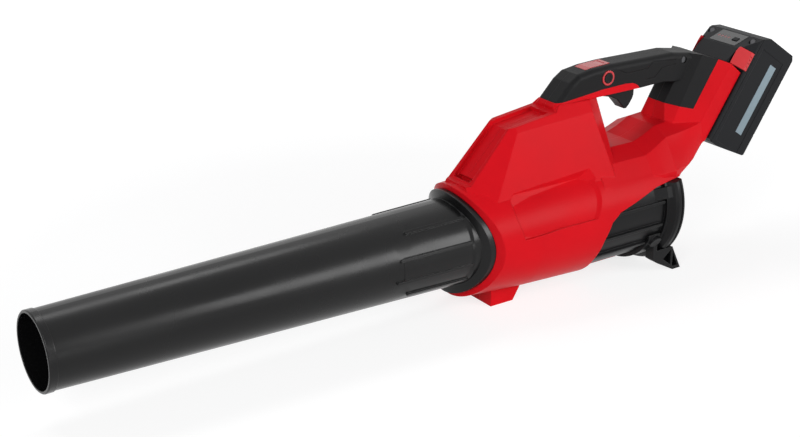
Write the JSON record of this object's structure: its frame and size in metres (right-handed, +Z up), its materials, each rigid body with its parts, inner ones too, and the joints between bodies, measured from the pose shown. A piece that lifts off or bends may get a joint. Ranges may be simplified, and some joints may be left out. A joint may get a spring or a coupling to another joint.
{
  "type": "leaf blower",
  "caption": "Handheld cordless leaf blower: long tapered nozzle tube, red clamshell housing with top grip and trigger, inline fan, splayed rear foot and slide-on battery.",
  "frame": {"origin": "middle of the bounding box in X and Y, on the plane the feet stand on", "axes": "+X along the air axis from the nozzle mouth towards the intake and battery, +Z up, +Y to the operator's right"},
  "size_m": [0.9266, 0.154, 0.2455],
  "materials": {
    "red_plastic": "smooth satin moulded plastic",
    "black_plastic": "fine-textured black plastic",
    "grip_rubber": "soft matt overmould",
    "badge_red": "glossy",
    "pin_steel": "bright steel",
    "screw_steel": "black-oxide steel",
    "board_green": "potted circuit board",
    "lead_black": "insulated wire",
    "aluminium": "cast",
    "lamination": "laminated steel",
    "copper": "enamelled copper",
    "pack_black": "dark moulded plastic",
    "stripe_grey": "plain printed band",
    "latch_red": "moulded plastic",
    "cell_steel": "nickel-plated can",
    "carrier_white": "flame-retardant plastic",
    "terminal_nickel": "plated terminal",
    "led_clear": "unlit lamp",
    "panel_black": "gloss insert"
  },
  "bodies": {
    "blower": {"housing_left": "red_plastic", "housing_right": "red_plastic", "housing_screws": "screw_steel", "grip_left": "grip_rubber", "grip_right": "grip_rubber", "badge_plate": "badge_red", "lock_button_bezel": "badge_red", "trigger_pin": "pin_steel", "switch_module": "black_plastic", "control_board": "board_green", "board_leads": "lead_black", "motor_leads": "lead_black", "air_duct": "black_plastic", "fan_housing": "black_plastic", "intake_guard": "black_plastic", "rear_foot": "black_plastic", "motor_mount": "black_plastic", "motor_end_plate": "aluminium", "tail_cone": "black_plastic", "front_bearing": "pin_steel", "rear_bearing": "pin_steel", "motor_stator": "lamination", "motor_windings": "copper", "battery_mount": "black_plastic", "tool_terminals": "terminal_nickel"},
    "nozzle": {"nozzle_tube": "black_plastic"},
    "fan": {"impeller": "black_plastic", "motor_shaft": "pin_steel", "motor_rotor": "lamination"},
    "trigger": {"trigger": "black_plastic"},
    "switch_plunger": {"switch_plunger": "black_plastic"},
    "lock_on_button": {"lock_on_button": "black_plastic"},
    "battery": {"battery_base_case": "pack_black", "battery_top_case": "pack_black", "battery_stripe": "stripe_grey", "battery_screws": "screw_steel", "battery_cells": "cell_steel", "cell_carriers": "carrier_white", "battery_board": "board_green", "battery_terminals": "terminal_nickel", "gauge_panel": "panel_black", "gauge_leds": "led_clear"},
    "latch_left": {"latch_left": "latch_red"},
    "latch_right": {"latch_right": "latch_red"},
    "gauge_button": {"gauge_button": "pack_black"}
  },
  "joints": [
    {"name": "nozzle_slide", "type": "slide", "parent": "blower", "child": "nozzle", "axis": [-1, 0, 0], "range_m": [0, 0.04]},
    {"name": "fan_spin", "type": "hinge", "parent": "blower", "child": "fan", "pos_m": [0.19475, 0, 0.0805], "axis": [1, 0, 0], "continuous": true},
    {"name": "trigger_pull", "type": "hinge", "parent": "blower", "child": "trigger", "pos_m": [0.20375, 0, 0.2205], "axis": [0, -1, 0], "range_deg": [0, 10], "stiffness_Nm_per_rad": 1.2},
    {"name": "plunger_push", "type": "slide", "parent": "blower", "child": "switch_plunger", "axis": [0, 0, 1], "range_m": [0, 0.00593]},
    {"name": "lock_button_push", "type": "slide", "parent": "blower", "child": "lock_on_button", "axis": [0, 1, 0], "range_m": [0, 0.003], "stiffness_N_per_m": 400},
    {"name": "battery_slide", "type": "slide", "parent": "blower", "child": "battery", "axis": [0.5592, 0, 0.829], "range_m": [0, 0.1]},
    {"name": "latch_left_press", "type": "slide", "parent": "battery", "child": "latch_left", "axis": [0, 1, 0], "range_m": [0, 0.002], "stiffness_N_per_m": 800},
    {"name": "latch_right_press", "type": "slide", "parent": "battery", "child": "latch_right", "axis": [0, -1, 0], "range_m": [0, 0.002], "stiffness_N_per_m": 800},
    {"name": "gauge_button_press", "type": "slide", "parent": "battery", "child": "gauge_button", "axis": [0.3006, 0, -0.9538], "range_m": [0, 0.001], "stiffness_N_per_m": 600}
  ],
  "couplings": [
    {"joint": "plunger_push", "follows": "trigger_pull", "m_per_rad": 0.034}
  ]
}
